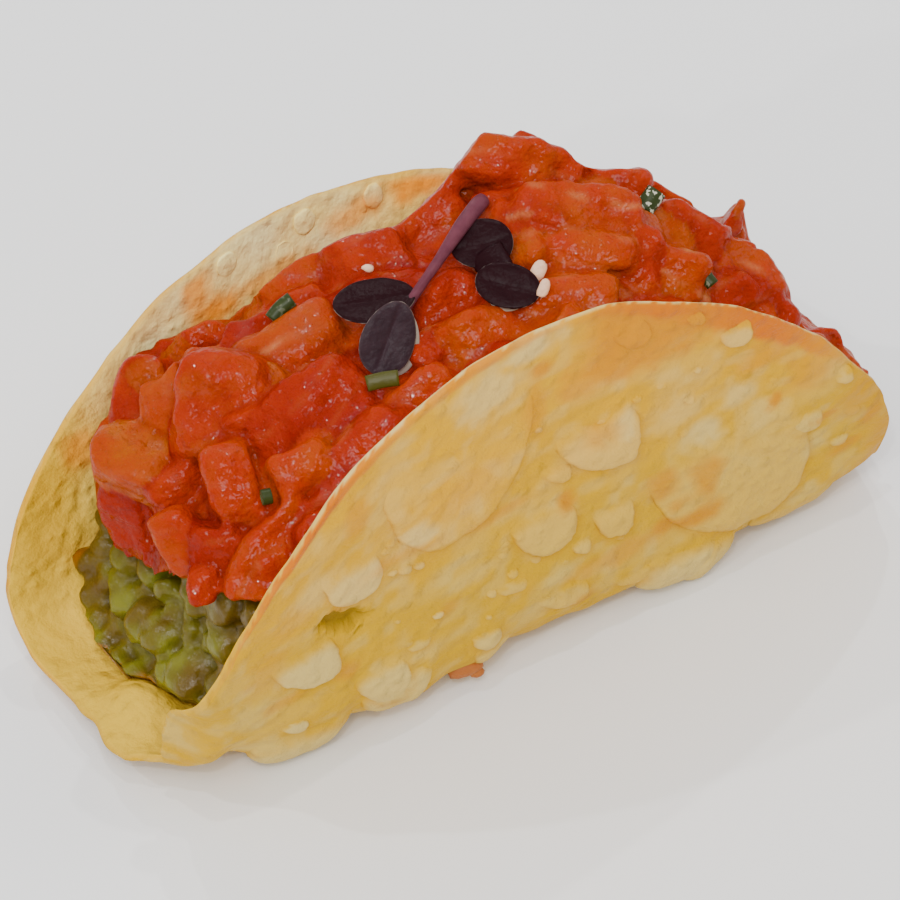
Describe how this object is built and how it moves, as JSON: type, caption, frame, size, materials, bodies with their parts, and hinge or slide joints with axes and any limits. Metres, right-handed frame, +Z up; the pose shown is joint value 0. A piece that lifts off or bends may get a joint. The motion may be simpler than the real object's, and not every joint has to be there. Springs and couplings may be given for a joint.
{
  "type": "mini taco",
  "caption": "Small folded taco of blistered fried dough with mashed avocado, diced salmon and cress sprouts.",
  "frame": {"origin": "middle of the bounding box in plan, at the height of the flat foot", "axes": "+X along the fold away from the open avocado end, +Y from the tall flap to the low flap, +Z up"},
  "size_m": [0.0834, 0.0466, 0.0466],
  "materials": {
    "fried_dough": "pale fried dough, satin, blistered",
    "avocado": "coarse moist mash",
    "salmon": "wet and glossy, oiled",
    "cress": "smooth dark leaf"
  },
  "bodies": {
    "root": {"shell": "fried_dough", "guacamole": "avocado", "salmon_tartare": "salmon", "sprout_long": "cress", "sprout_pair": "cress"}
  },
  "joints": []
}
